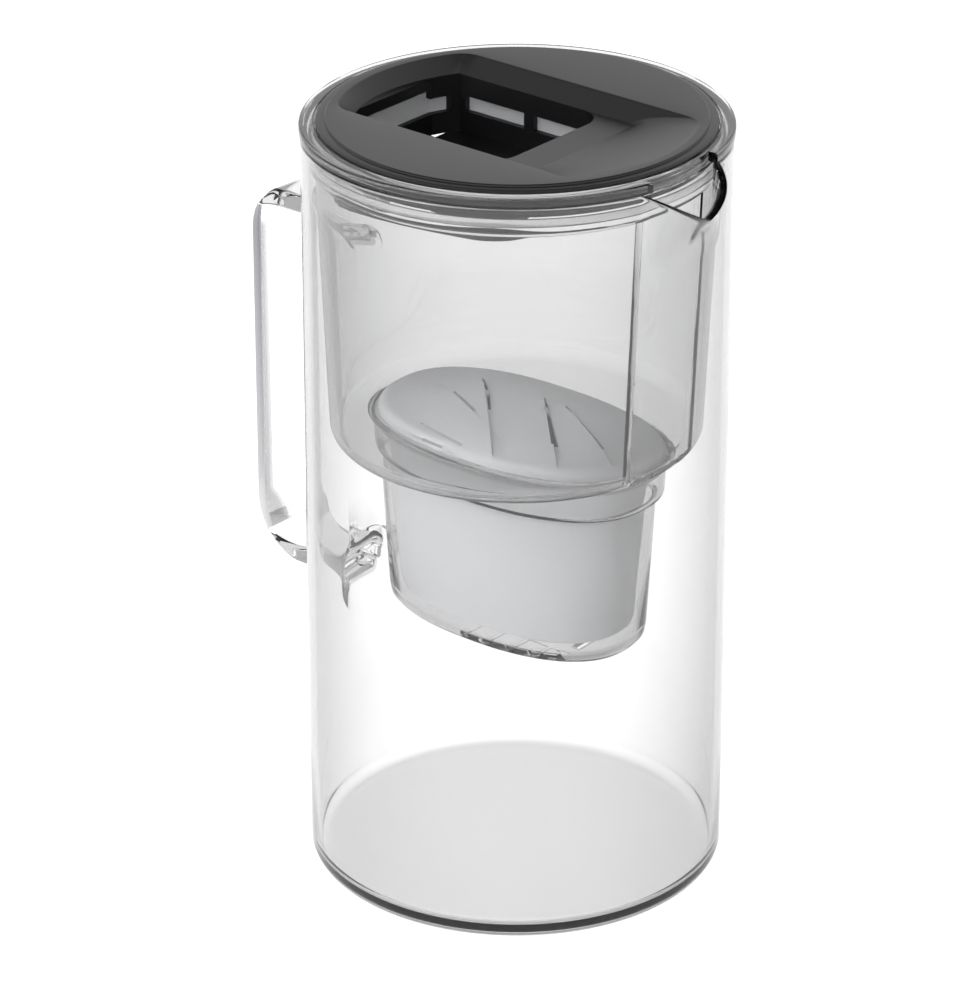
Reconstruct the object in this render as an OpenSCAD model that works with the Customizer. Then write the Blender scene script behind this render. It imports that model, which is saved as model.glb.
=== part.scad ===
// Glass water filter pitcher: a straight cylindrical jug with a pressed spout and a fused
// ribbon handle, a clear hopper that hangs from the glass rim, an oval exchangeable cartridge
// in its socket, and a dished black lid whose inlet basket is closed by a sprung flap.
// Frame: origin on the jug's axis under its base, +X towards the spout, +Z up, millimetres.

/* [Glass jug] */
// Outer radius of the glass cylinder
jug_r = 68; // [67:0.5:70]
// Height of the glass rim above the table
jug_h = 253.5; // [250:0.5:262]
// Thickness of the glass wall
glass_t = 2.5; // [2.2:0.1:2.8]
// Thickness of the glass base
base_t = 4; // [3:0.5:6]
// Outer radius of the corner round the foot
foot_r = 5; // [4.5:0.5:7]

/* [Spout] */
// How far the tip stands proud of the cylinder
spout_reach = 9; // [7:0.5:11]
// How far the tip lies below the rim
spout_drop = 11; // [9:0.5:13]
// Half of the spout's width where its lip leaves the rim
spout_half = 19; // [18:0.5:20]
// How far below the rim the beak starts to leave the wall
spout_depth = 27; // [25:0.5:30]

/* [Handle] */
// How far the grip's outer face stands off the cylinder
handle_reach = 41; // [37:1:45]
// Width of the glass ribbon
handle_w = 18.5; // [15:0.5:22]
// Thickness of the glass ribbon
handle_t = 6.5; // [5.5:0.5:7.5]
// Height of the ribbon's upper side above the table
handle_top = 212; // [206:1:218]
// Height of the ribbon's lower side above the table
handle_foot = 78.5; // [76:0.5:86]
// Outer radius of the upper bend
bend_top_r = 16; // [13:1:20]
// Outer radius of the lower bend
bend_foot_r = 22; // [16:1:24]

/* [Hopper] */
// Depth from the glass rim to the underside of the hopper's floor
hopper_depth = 103.5; // [100:0.5:106]
// Wall thickness of the hopper
shell_t = 2.2; // [1.8:0.1:2.4]
// Outer radius of the hopper where its wall meets the floor's corner
hopper_low_r = 60; // [59:0.5:61]
// Outer corner radius between the wall and the floor
hopper_corner_r = 7; // [6:0.5:8]
// Half of the width of the flat pour panel behind the spout
pour_half = 15.5; // [13:0.5:17]

/* [Cartridge] */
// Half of the length of the cartridge's flange
cart_a = 52.4; // [51:0.1:52.6]
// Half of the width of the cartridge's flange
cart_b = 31.4; // [30.5:0.1:32]
// Depth of the cartridge's cup below its flange
cart_depth = 60; // [52:1:60]
// Depth of the socket's cup below the hopper's floor
socket_depth = 66; // [65:0.5:70]

/* [Lid] */
// Half of the width of the lid's hollow
hollow_half = 32; // [30:0.5:34]
// Radius of the arcs that end the hollow
hollow_r = 57; // [56:0.5:57.5]
// Depth of the hollow
hollow_depth = 5.4; // [5:0.1:6]
// Where the inlet's edge towards the spout lies on X
inlet_front = 14; // [10:1:16]
// Radius of the inlet's two corners towards the spout
inlet_corner_r = 9; // [5:0.5:11]

/* [Hidden] */
$fn = 96;

rim_z = jug_h;
floor_z = rim_z - hopper_depth;
jug_ri = jug_r - glass_t;
rim_round = 1;
inner_foot_r = 4;

lip_r = 1.2;
lip_bend = 1.2;
lip_corner = [sqrt(pow(jug_r - lip_r, 2) - pow(spout_half, 2)), spout_half, rim_z - lip_r];
lip_tip = [jug_r + spout_reach - lip_r, 0, rim_z - spout_drop - lip_r];
mouth_inset = 1.5;
beak_steps = 10;

bar_x = -(jug_r + handle_reach - handle_t / 2);
bar_top_z = handle_top - handle_t / 2;
bar_foot_z = handle_foot + handle_t / 2;
bar_round = 2.6;
weld_reach = 8;

collar_r = jug_ri - 0.5;
collar_in_r = collar_r - 2.8;
collar_low_z = rim_z - 8.5;
hopper_top_r = collar_r - 1.5;
hopper_top_z = rim_z - 10.5;
flange_r = jug_r + 0.5;
flange_t = 3.3;
seal_z = [rim_z - 6.9, rim_z - 4.1];
seal_groove = 1;
lid_seat_r = collar_in_r + 1.2;
lid_seat_z = rim_z + 1.3;
panel_low_x = hopper_low_r - 4.5;
panel_high_x = hopper_top_r - 4;
oval_power = 2.35;
oval_steps = 64;

flange_z = floor_z;
cart_flange_t = 1.8;
cart_gap = 0.4;
cart_wall = 1.6;
cart_low_z = flange_z - cart_depth;
cap_z = flange_z + cart_flange_t;
cup_a = cart_a - 7.1;
cup_b = cart_b - 4.1;
socket_low_z = floor_z - socket_depth;
socket_wall = 1.8;
band_z = floor_z - 12;

lid_r = lid_seat_r - 0.4;
lid_z = rim_z + 4.9;
lid_plug_r = collar_in_r - 1;
lid_plate_t = 2.2;
hollow_z = lid_z - hollow_depth;
hollow_slope = hollow_depth;
hollow_corner_r = 9;
dish_t = 2;
strip_front = inlet_front + 12;
inlet_back = -50;
inlet_half = hollow_half - hollow_slope;
inlet_r = 53;
basket_t = 2;
basket_low_z = hollow_z - 19.5;
basket_top_z = hollow_z - 2;
window_z = [basket_low_z + 7.2, basket_low_z + 12.5];
end_window_h = 8.5;
strainer_t = 0.4;

flap_t = 1.6;
hinge_x = inlet_back - 1;
hinge_z = basket_low_z - 2.7;
knuckle_r = 2.4;
pin_r = 1;
pin_half = 17.5;
run_fit = 0.06;
spring_r = 1.9;
spring_wire_r = 0.3;
spring_half = 4;
spring_turns = 4;
spring_arm = 10;
spring_lift = 14.6;
spring_post = 6.5;

glass_tint = [0.86, 0.91, 0.92, 0.35];
clear_tint = [0.82, 0.86, 0.88, 0.45];
seal_tint = [0.75, 0.78, 0.80, 0.6];
white_tint = [0.90, 0.91, 0.92];
black_tint = [0.13, 0.13, 0.14];
gauze_tint = [0.50, 0.50, 0.52];
steel_tint = [0.70, 0.71, 0.73];

// Points of an arc about centre c, from angle a0 to angle a1
function arc(c, r, a0, a1, steps = 8) =
    [for (i = [0 : steps]) let (a = a0 + (a1 - a0) * i / steps) c + r * [cos(a), sin(a)]];

// Sine or cosine bent so that a circle becomes the full-sided oval of the cartridge
function bent(v) = sign(v) * pow(abs(v), 2 / oval_power);

function oval_ring(a, b) =
    [for (i = [0 : oval_steps - 1]) let (t = 360 * i / oval_steps) [a * bent(cos(t)), b * bent(sin(t))]];

module oval(a, b) {
    polygon(oval_ring(a, b));
}

// Closed solid through a stack of ovals, each level being [z, half length, half width]
module oval_stack(levels) {
    n = oval_steps;
    count = len(levels);
    points = [for (level = levels) for (p = oval_ring(level[1], level[2])) [p.x, p.y, level[0]]];
    low_face = [for (i = [0 : n - 1]) i];
    top_face = [for (i = [n - 1 : -1 : 0]) (count - 1) * n + i];
    sides = [for (k = [0 : count - 2]) for (i = [0 : n - 1])
        let (a = k * n + i, b = k * n + (i + 1) % n)
        each [[a, a + n, b + n], [a, b + n, b]]];
    polyhedron(points, concat([low_face, top_face], sides));
}

// Rectangle with round corners, centred
module soft_rect(w, h, r) {
    square([w - 2 * r, h], center = true);
    square([w, h - 2 * r], center = true);
    for (x = [-1, 1], y = [-1, 1])
        translate([x * (w / 2 - r), y * (h / 2 - r)]) circle(r);
}

// Middle of the spout's lip, from one rim corner (side = -1) over the tip (0) to the other (1)
function lip_point(side) =
    let (s = pow(abs(side), lip_bend))
    [lip_tip.x + (lip_corner.x - lip_tip.x) * s, lip_corner.y * side, lip_tip.z + (lip_corner.z - lip_tip.z) * s];

// The same line moved inwards, where the hollow of the spout meets the lip
function mouth_point(side) = lip_point(side) - [mouth_inset, mouth_inset * side * 0.5, -lip_r];

module beak() {
    hull() {
        for (i = [-beak_steps : beak_steps])
            translate(lip_point(i / beak_steps)) sphere(lip_r, $fn = 16);
        translate([jug_r - lip_r, 0, rim_z - spout_depth]) sphere(lip_r, $fn = 16);
    }
}

module beak_mouth() {
    speck = 0.02;
    hull() {
        for (i = [-beak_steps : beak_steps], lift = [-1.2 * lip_r, spout_drop + 5])
            translate(mouth_point(i / beak_steps) + [0, 0, lift]) cube(speck, center = true);
        translate([jug_ri, 0, rim_z - spout_depth + 0.8]) cube(speck, center = true);
    }
}

module glass_jug() {
    outer = concat([[0, 0]], arc([jug_r - foot_r, foot_r], foot_r, -90, 0),
                   arc([jug_r - rim_round, rim_z - rim_round], rim_round, 0, 90), [[0, rim_z]]);
    cavity = concat([[0, base_t]], arc([jug_ri - inner_foot_r, base_t + inner_foot_r], inner_foot_r, -90, 0),
                    arc([jug_ri + rim_round, rim_z - rim_round], rim_round, 180, 90), [[jug_ri + rim_round, rim_z + 1]],
                    [[0, rim_z + 1]]);
    color(glass_tint) difference() {
        union() {
            rotate_extrude() polygon(outer);
            beak();
        }
        rotate_extrude() polygon(cavity);
        beak_mouth();
    }
}

// One quarter bend of the ribbon about a centre in the XZ plane
module ribbon_bend(centre, r, start) {
    translate(centre) rotate([90, 0, 0]) rotate([0, 0, start])
        rotate_extrude(angle = 90) translate([r, 0]) soft_rect(handle_t, handle_w, bar_round);
}

// Level end of the ribbon, from the bend to the wall; its section swells by the spreads where it is welded
module ribbon_end(z, from_x, spread_w, spread_up, spread_down) {
    root_x = -jug_r - weld_reach;
    stations = [[root_x, 0], [-jug_r - 3, 0.3], [-jug_r + 0.6, 1], [-jug_r + 3, 1]];
    translate([from_x, 0, z]) rotate([0, 90, 0])
        linear_extrude(root_x - from_x) soft_rect(handle_t, handle_w, bar_round);
    for (i = [0 : 2])
        hull() for (s = [stations[i], stations[i + 1]])
            translate([s.x, 0, z + s.y * (spread_up - spread_down) / 2]) rotate([0, 90, 0])
                linear_extrude(0.1) soft_rect(handle_t + s.y * (spread_up + spread_down),
                                              handle_w + s.y * spread_w, bar_round + 2 * s.y, $fn = 24);
}

module glass_handle() {
    mid_top_r = bend_top_r - handle_t / 2;
    mid_foot_r = bend_foot_r - handle_t / 2;
    color(glass_tint) difference() {
        union() {
            translate([bar_x, 0, bar_foot_z + mid_foot_r])
                linear_extrude(bar_top_z - mid_top_r - bar_foot_z - mid_foot_r) soft_rect(handle_t, handle_w, bar_round);
            ribbon_bend([bar_x + mid_top_r, 0, bar_top_z - mid_top_r], mid_top_r, 90);
            ribbon_bend([bar_x + mid_foot_r, 0, bar_foot_z + mid_foot_r], mid_foot_r, 180);
            ribbon_end(bar_top_z, bar_x + mid_top_r, 3, 4, 8.5);
            ribbon_end(bar_foot_z, bar_x + mid_foot_r, 8, 11, 14);
        }
        cylinder(rim_z, r = jug_r);
    }
}

// Space in front of the flat pour panel; grow moves its faces into the hopper by a wall's thickness
module pour_space(grow) {
    half = pour_half + grow;
    translate([0, half, 0]) rotate([90, 0, 0]) linear_extrude(2 * half)
        polygon([[panel_low_x - grow, floor_z - 1], [panel_high_x - grow, hopper_top_z + grow],
                 [jug_r, hopper_top_z + grow], [jug_r, floor_z - 1]]);
}

module hopper() {
    outer = concat([[0, floor_z]],
                   arc([hopper_low_r - hopper_corner_r, floor_z + hopper_corner_r], hopper_corner_r, -90, 0),
                   [[hopper_top_r, hopper_top_z], [collar_r, collar_low_z],
                    [collar_r, seal_z[0]], [collar_r - seal_groove, seal_z[0]],
                    [collar_r - seal_groove, seal_z[1]], [collar_r, seal_z[1]],
                    [collar_r, rim_z - 1.8], [collar_r - 0.6, rim_z - 1.8], [collar_r - 0.6, rim_z],
                    [flange_r, rim_z]],
                   arc([flange_r - 0.8, rim_z + flange_t - 0.8], 0.8, 0, 90, 4), [[0, rim_z + flange_t]]);
    cavity = concat([[0, floor_z + shell_t]],
                    arc([hopper_low_r - hopper_corner_r, floor_z + hopper_corner_r],
                        hopper_corner_r - shell_t, -90, 0),
                    [[hopper_top_r - shell_t, hopper_top_z], [collar_in_r, hopper_top_z + 1.3],
                     [collar_in_r, lid_seat_z], [lid_seat_r, lid_seat_z],
                     [lid_seat_r, rim_z + flange_t + 1], [0, rim_z + flange_t + 1]]);
    color(clear_tint) difference() {
        rotate_extrude() polygon(outer);
        pour_space(0);
        difference() {
            rotate_extrude() polygon(cavity);
            pour_space(shell_t);
        }
        translate([0, 0, floor_z - 1]) linear_extrude(shell_t + 2) oval(cart_a + cart_gap, cart_b + cart_gap);
        difference() {
            translate([collar_in_r - 5, -pour_half - 0.5, rim_z]) cube([20, 2 * pour_half + 1, 10]);
            cylinder(2 * rim_z, r = collar_r);
        }
    }
}

module collar_seal() {
    color(seal_tint) rotate_extrude() polygon([
        [collar_r - seal_groove, seal_z[0] + 0.1], [collar_r, seal_z[0] + 0.1],
        [collar_r + 0.2, seal_z[0] + 0.9], [collar_r + 0.2, seal_z[1] - 0.9],
        [collar_r, seal_z[1] - 0.1], [collar_r - seal_groove, seal_z[1] - 0.1]]);
}

module cartridge_socket() {
    a = cart_a;
    b = cart_b;
    color(clear_tint) difference() {
        oval_stack([[socket_low_z, a - 10.4, b - 8.4], [socket_low_z + 1.2, a - 7.8, b - 5.8],
                    [socket_low_z + 3.5, a - 6, b - 4], [socket_low_z + 6.5, a - 5.5, b - 3.5],
                    [band_z - 2, a - 2.7, b - 1.8], [band_z, a + 0.1, b - 0.2],
                    [floor_z - 3, a + 0.6, b + 0.3], [floor_z, a + 2.4, b + 2.2]]);
        oval_stack([[socket_low_z + socket_wall, a - 10.4, b - 8.4], [socket_low_z + 4, a - 8, b - 6],
                    [socket_low_z + 6.5, a - 7.3, b - 5.3], [band_z - 0.5, a - 4.5, b - 3.6],
                    [band_z + 1.8, a - 1.7, b - 2], [floor_z + 1, a - 1.4, b - 1.6]]);
        for (x = [-0.5 : 9 : 27], y = [-1, 1])
            translate([x, y > 0 ? 14 : -34, socket_low_z + 1.6]) cube([7.5, 20, 3]);
        for (x = [-32 : 8 : 32])
            translate([x - 1.5, -9, socket_low_z - 1]) cube([3, 18, 5]);
    }
}

module cartridge_cup() {
    color(white_tint) difference() {
        union() {
            oval_stack([[cart_low_z, cup_a - 4.8, cup_b - 4.8], [cart_low_z + 1.4, cup_a - 2.9, cup_b - 2.9],
                        [cart_low_z + 4, cup_a - 2.1, cup_b - 2.1], [flange_z + 0.5, cup_a, cup_b]]);
            translate([0, 0, flange_z]) linear_extrude(cart_flange_t) oval(cart_a, cart_b);
        }
        oval_stack([[cart_low_z + cart_wall, cup_a - 6.4, cup_b - 6.4],
                    [cart_low_z + 4, cup_a - 3.8, cup_b - 3.8],
                    [flange_z + cart_flange_t + 1, cup_a - cart_wall, cup_b - cart_wall]]);
        for (x = [-30 : 6 : 30])
            translate([x - 1, -12, cart_low_z - 1]) cube([2, 24, 5]);
    }
}

// Narrow slot down through the cap between two points given in plan, w0 wide at one end and w1 at the other
module cap_slot(from, to, w0, w1) {
    run = to - from;
    translate([from.x, from.y, cap_z]) rotate([0, 0, atan2(run.y, run.x)]) linear_extrude(12)
        polygon([[0, -w0 / 2], [norm(run), -w1 / 2], [norm(run), w1 / 2], [0, w0 / 2]]);
}

module cartridge_cap() {
    a = cart_a;
    b = cart_b;
    color(white_tint) difference() {
        oval_stack([[cap_z, a - 1, b - 1], [cap_z + 1.6, a - 1.4, b - 1.4],
                    [cap_z + 3, a - 2.6, b - 2.5], [cap_z + 4.4, a - 5.2, b - 4.8],
                    [cap_z + 5.5, a - 9.4, b - 8.4], [cap_z + 6.2, a - 17, b - 14],
                    [cap_z + 6.5, a - 28, b - 21], [cap_z + 6.6, a - 40, b - 26]]);
        oval_stack([[cap_z - 1, a - 3, b - 3], [cap_z + 1.6, a - 3.2, b - 3.2],
                    [cap_z + 2.8, a - 4.6, b - 4.4], [cap_z + 3.8, a - 7.6, b - 7],
                    [cap_z + 4.4, a - 12, b - 10.6], [cap_z + 4.7, a - 19, b - 15],
                    [cap_z + 4.8, a - 30, b - 22]]);
        cap_slot([-25, -1.4], [-9.2, -9.5], 0.6, 0.9);
        cap_slot([-25.2, 13.1], [-18.6, 7.4], 1.2, 1.1);
        cap_slot([-16.9, 5.9], [-7.6, -4.3], 1.1, 0.9);
        cap_slot([0.4, 13.8], [6.9, 7], 0.9, 1);
        cap_slot([8.4, 5.4], [26, -12.8], 1.1, 2.2);
        cap_slot([10, 13], [37.9, -4.1], 0.6, 1.1);
        cap_slot([-20.1, -23.4], [0.8, -27.8], 0.8, 0.8);
        for (from = [-24, -14.4])
            translate([from, -cart_b, cap_z + 1.1]) cube([8.8, 8, 0.9]);
    }
}

module cartridge_seal() {
    color(seal_tint) translate([0, 0, flange_z - 3.4]) linear_extrude(3) difference() {
        oval(cart_a - 2, cart_b - 2.1);
        oval(cup_a + 0.1, cup_b + 0.1);
    }
}

module upper_fleece() {
    color(white_tint) translate([0, 0, flange_z - 0.4]) linear_extrude(1.6) oval(cup_a - 2, cup_b - 2);
}

module lower_fleece() {
    color(white_tint) translate([0, 0, cart_low_z + cart_wall + 0.1])
        linear_extrude(1) oval(cup_a - 6.8, cup_b - 6.8);
}

module filter_granules() {
    color("dimgray") oval_stack([[cart_low_z + 3.2, cup_a - 5.4, cup_b - 5.4],
                                 [cart_low_z + 5, cup_a - 4.2, cup_b - 4.2],
                                 [flange_z - 0.8, cup_a - 2.2, cup_b - 2.2]]);
}

// Outline of the hollow where it meets the lid's top, grown by d
module hollow_rim(d) {
    r = hollow_corner_r;
    corner_y = hollow_half - r;
    corner_x = sqrt(pow(hollow_r - r, 2) - pow(corner_y, 2));
    hull() {
        for (x = [-1, 1], y = [-1, 1])
            translate([x * corner_x, y * corner_y]) circle(r + d, $fn = 32);
        intersection() {
            circle(hollow_r + d, $fn = 96);
            square([3 * hollow_r, 2 * corner_y], center = true);
        }
    }
}

// Outline of the hollow's floor, grown by d
module hollow_floor(d) {
    intersection() {
        circle(inlet_r + 0.5 + d);
        translate([-80, -inlet_half - d]) square([80 + strip_front + d, 2 * (inlet_half + d)]);
    }
}

module hollow_form(d) {
    hull() {
        translate([0, 0, lid_z - 0.01]) linear_extrude(1) hollow_rim(d);
        translate([0, 0, hollow_z]) linear_extrude(0.01) hollow_floor(d, $fn = 96);
    }
}

// Outline of the inlet through the lid, grown by d
module inlet_outline(d) {
    r = inlet_corner_r;
    intersection() {
        circle(inlet_r + d);
        polygon(concat([[inlet_back - d, inlet_half + d], [inlet_back - d, -inlet_half - d]],
                       arc([inlet_front - r, r - inlet_half], r + d, -90, 0),
                       arc([inlet_front - r, inlet_half - r], r + d, 0, 90)));
    }
}

module lid_cover() {
    step_r = lid_r - 3;
    shell = [[0, lid_z], [step_r, lid_z], [step_r + 0.3, lid_z - 0.8], [lid_r - 0.7, lid_z - 0.8],
             [lid_r, lid_z - 1.4], [lid_r, lid_seat_z], [lid_r - 1.6, lid_seat_z],
             [lid_r - 1.6, lid_z - lid_plate_t], [0, lid_z - lid_plate_t]];
    color(black_tint) difference() {
        union() {
            rotate_extrude() polygon(shell);
            intersection() {
                hollow_form(dish_t);
                translate([-lid_r, -lid_r, hollow_z]) cube([2 * lid_r, 2 * lid_r, hollow_depth - 1]);
            }
        }
        hollow_form(0);
        translate([0, 0, hollow_z - 1]) linear_extrude(1.5) hollow_floor(0);
    }
}

module lid_frame() {
    ring_in_r = lid_plug_r - 3;
    color(black_tint) difference() {
        rotate_extrude() polygon([
            [0, basket_top_z], [ring_in_r, basket_top_z], [ring_in_r, basket_top_z - 2],
            [lid_plug_r, basket_top_z - 2], [lid_plug_r, basket_top_z - 0.6],
            [lid_plug_r - 1.2, basket_top_z - 0.6], [lid_plug_r - 1.2, hollow_z - 0.4],
            [lid_plug_r, hollow_z - 0.4], [lid_plug_r, lid_z - lid_plate_t],
            [ring_in_r + 0.6, lid_z - lid_plate_t], [ring_in_r + 0.6, hollow_z], [0, hollow_z]]);
        translate([0, 0, basket_top_z - 3]) linear_extrude(10) inlet_outline(0);
    }
}

module lid_seal() {
    low = basket_top_z - 0.5;
    top = hollow_z - 0.5;
    groove_r = lid_plug_r - 1.2;
    color(seal_tint) rotate_extrude() polygon([
        [groove_r, low], [groove_r + 1.2, low], [groove_r + 1.8, low + 0.7],
        [groove_r + 1.2, top], [groove_r, top]]);
}

module hinge_lug(y) {
    translate([hinge_x, y - 1.5, hinge_z]) rotate([-90, 0, 0]) cylinder(3, r = knuckle_r);
    translate([hinge_x - knuckle_r, y - 1.5, hinge_z]) cube([2 * knuckle_r, 3, basket_low_z - hinge_z + 1]);
}

module inlet_basket() {
    posts = [-45.5, -17.2, inlet_front - 3];
    color(black_tint) difference() {
        union() {
            translate([0, 0, basket_low_z]) linear_extrude(basket_top_z - basket_low_z) inlet_outline(basket_t);
            translate([0, 0, basket_top_z - 1.5]) linear_extrude(1.5) inlet_outline(basket_t + 2);
            for (y = [-1, 1])
                hinge_lug(15.5 * y);
        }
        translate([0, 0, basket_low_z - 0.01]) linear_extrude(30) inlet_outline(0);
        for (i = [0, 1])
            translate([posts[i] + 2, -40, window_z[0]])
                cube([posts[i + 1] - posts[i] - 4, 80, window_z[1] - window_z[0]]);
        translate([inlet_back - 10, -24, window_z[0]]) cube([15, 48, window_z[1] - window_z[0]]);
        translate([inlet_back - 10, -17, window_z[0]]) cube([15, 34, end_window_h]);
        translate([hinge_x, 0, hinge_z]) rotate([90, 0, 0]) cylinder(60, r = pin_r + 0.03, center = true);
    }
}

// Thin sleeve of gauze round the basket, behind its windows
module inlet_strainer() {
    color(gauze_tint) translate([0, 0, window_z[0] - 1]) linear_extrude(end_window_h + 1.2) difference() {
        inlet_outline(basket_t + 0.1 + strainer_t);
        inlet_outline(basket_t + 0.1);
    }
}

module inlet_flap() {
    color(black_tint) difference() {
        union() {
            translate([0, 0, basket_low_z - flap_t]) linear_extrude(flap_t) intersection() {
                inlet_outline(1.2);
                translate([hinge_x + knuckle_r + 0.4, -40]) square([80, 80]);
            }
            for (y = [-1, 1]) {
                translate([hinge_x, y * 9.75, hinge_z]) rotate([90, 0, 0]) cylinder(7.5, r = knuckle_r, center = true);
                translate([hinge_x, y * 9.75 - 3.75, basket_low_z - flap_t - 0.7]) cube([8, 7.5, 2]);
                translate([hinge_x + 8, y * 18 - 0.75, basket_low_z - flap_t - 1.2]) cube([54, 1.5, 1.5]);
            }
        }
        translate([hinge_x, 0, hinge_z]) rotate([90, 0, 0]) cylinder(60, r = pin_r + run_fit, center = true);
    }
}

module flap_pin() {
    color(steel_tint) translate([hinge_x, 0, hinge_z]) rotate([90, 0, 0])
        cylinder(2 * pin_half, r = pin_r, center = true);
}

// Route of the torsion spring: fixed arm up the basket's end, the coil, then the arm under the flap
spring_start = 180;
spring_stop = 270 + spring_lift + 360 * spring_turns;
function coil_point(t) = [hinge_x + spring_r * cos(t),
                          -spring_half + 2 * spring_half * (t - spring_start) / (spring_stop - spring_start),
                          hinge_z + spring_r * sin(t)];
coil_rings = 12 * spring_turns + 3;
coil = [for (i = [0 : coil_rings]) coil_point(spring_start + (spring_stop - spring_start) * i / coil_rings)];
spring_path = concat([coil[0] + [0, 0, spring_post]], coil,
                     [coil[coil_rings] + spring_arm * [cos(spring_lift), 0, sin(spring_lift)]]);
coil_gap = min([for (i = [0 : coil_rings - 9]) for (j = [i + 9 : coil_rings]) norm(coil[i] - coil[j])]);
echo(least_gap_between_spring_turns = coil_gap - 2 * spring_wire_r);

// Tube of hexagonal section along a route that lies nearly across Y
module wire(path, r, sides = 6) {
    last = len(path) - 1;
    points = [for (i = [0 : last])
        let (along = path[min(i + 1, last)] - path[max(i - 1, 0)],
             u = cross(along, [0, 1, 0]) / norm(cross(along, [0, 1, 0])),
             v = cross(along, u) / norm(along))
        for (k = [0 : sides - 1])
            path[i] + r * (cos(360 * k / sides) * u + sin(360 * k / sides) * v)];
    walls = [for (i = [0 : last - 1]) for (k = [0 : sides - 1])
        let (a = i * sides + k, b = i * sides + (k + 1) % sides)
        each [[a, a + sides, b + sides], [a, b + sides, b]]];
    ends = [[for (k = [0 : sides - 1]) k], [for (k = [sides - 1 : -1 : 0]) last * sides + k]];
    polyhedron(points, concat(walls, ends));
}

module flap_spring() {
    color(steel_tint) wire(spring_path, spring_wire_r);
}

glass_jug();
glass_handle();
hopper();
collar_seal();
cartridge_socket();
cartridge_cup();
cartridge_cap();
cartridge_seal();
upper_fleece();
lower_fleece();
filter_granules();
lid_cover();
lid_frame();
lid_seal();
inlet_basket();
inlet_strainer();
inlet_flap();
flap_pin();
flap_spring();
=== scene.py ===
"""Looks of a glass water filter pitcher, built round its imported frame."""
import math
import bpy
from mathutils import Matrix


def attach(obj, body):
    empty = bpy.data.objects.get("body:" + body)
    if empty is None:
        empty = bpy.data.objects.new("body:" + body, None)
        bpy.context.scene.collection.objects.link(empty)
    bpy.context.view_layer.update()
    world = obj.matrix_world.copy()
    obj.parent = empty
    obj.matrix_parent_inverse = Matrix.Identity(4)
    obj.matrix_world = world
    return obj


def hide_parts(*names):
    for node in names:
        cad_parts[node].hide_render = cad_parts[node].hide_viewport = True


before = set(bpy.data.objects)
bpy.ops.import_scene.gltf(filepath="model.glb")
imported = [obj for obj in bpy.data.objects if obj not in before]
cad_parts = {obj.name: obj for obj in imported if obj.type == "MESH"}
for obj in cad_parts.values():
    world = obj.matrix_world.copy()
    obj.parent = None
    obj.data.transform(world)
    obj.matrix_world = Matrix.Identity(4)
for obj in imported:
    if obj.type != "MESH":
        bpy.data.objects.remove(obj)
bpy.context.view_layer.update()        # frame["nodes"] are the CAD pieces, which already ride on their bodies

import types

import bmesh
import bpy
from mathutils import Matrix, Vector

bl_info = {
    "name": "Filter Pitcher",
    "version": (1, 0, 0),
    "blender": (4, 5, 0),
    "location": "View3D > Sidebar > Pitcher",
    "description": "Builds the looks of a glass pitcher with a hopper, cartridge and dished lid",
    "category": "Object",
}

# One millimetre in metres: shapes are drawn in millimetres and scaled once
MM = 0.001
# Heights of the glass rim and of the underside of the hopper's floor
RIM_Z = 253.5
FLOOR_Z = 150.0
# Exponent of the cartridge's oval: 2 is an ellipse, more is fuller
OVAL_POWER = 2.35
# Points of a cut mesh that are nearer than this, in metres, are one
WELD = 2e-6


# Numbers, colours and nodes

def linear(hex_colour):
    """sRGB hex value as a linear colour with alpha 1."""
    values = [int(hex_colour[i:i + 2], 16) / 255 for i in (0, 2, 4)]
    return (*(v / 12.92 if v <= 0.04045 else ((v + 0.055) / 1.055) ** 2.4 for v in values), 1)


def length(name, millimetres, description):
    """Setting for a length, its default given in millimetres."""
    return bpy.props.FloatProperty(name=name, description=description, default=millimetres * MM,
                                   unit="LENGTH", subtype="DISTANCE", precision=5)


def colour(name, hex_colour, description):
    """Setting for a colour, its default given as sRGB hex."""
    return bpy.props.FloatVectorProperty(name=name, description=description, size=3, subtype="COLOR",
                                         min=0, max=1, default=linear(hex_colour)[:3])


def in_mm(group):
    """The lengths of a property group as plain numbers of millimetres."""
    lengths = {key: getattr(group, key) for key in group.__annotations__}
    return types.SimpleNamespace(**{key: v / MM for key, v in lengths.items() if isinstance(v, float)})


def add_node(tree, kind, values=(), links=(), **settings):
    """Adds a node: settings are its properties, values its sockets' numbers, links what feeds them."""
    node = tree.nodes.new(kind)
    for key, value in settings.items():
        setattr(node, key, value)
    for key, value in dict(values).items():
        node.inputs[key].default_value = value
    for key, source in dict(links).items():
        tree.links.new(source, node.inputs[key])
    return node


def new_tree(name):
    """Material of this name and its node tree, emptied."""
    material = bpy.data.materials.new(name)
    material.use_nodes = True
    material.node_tree.nodes.clear()
    return material, material.node_tree


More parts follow.
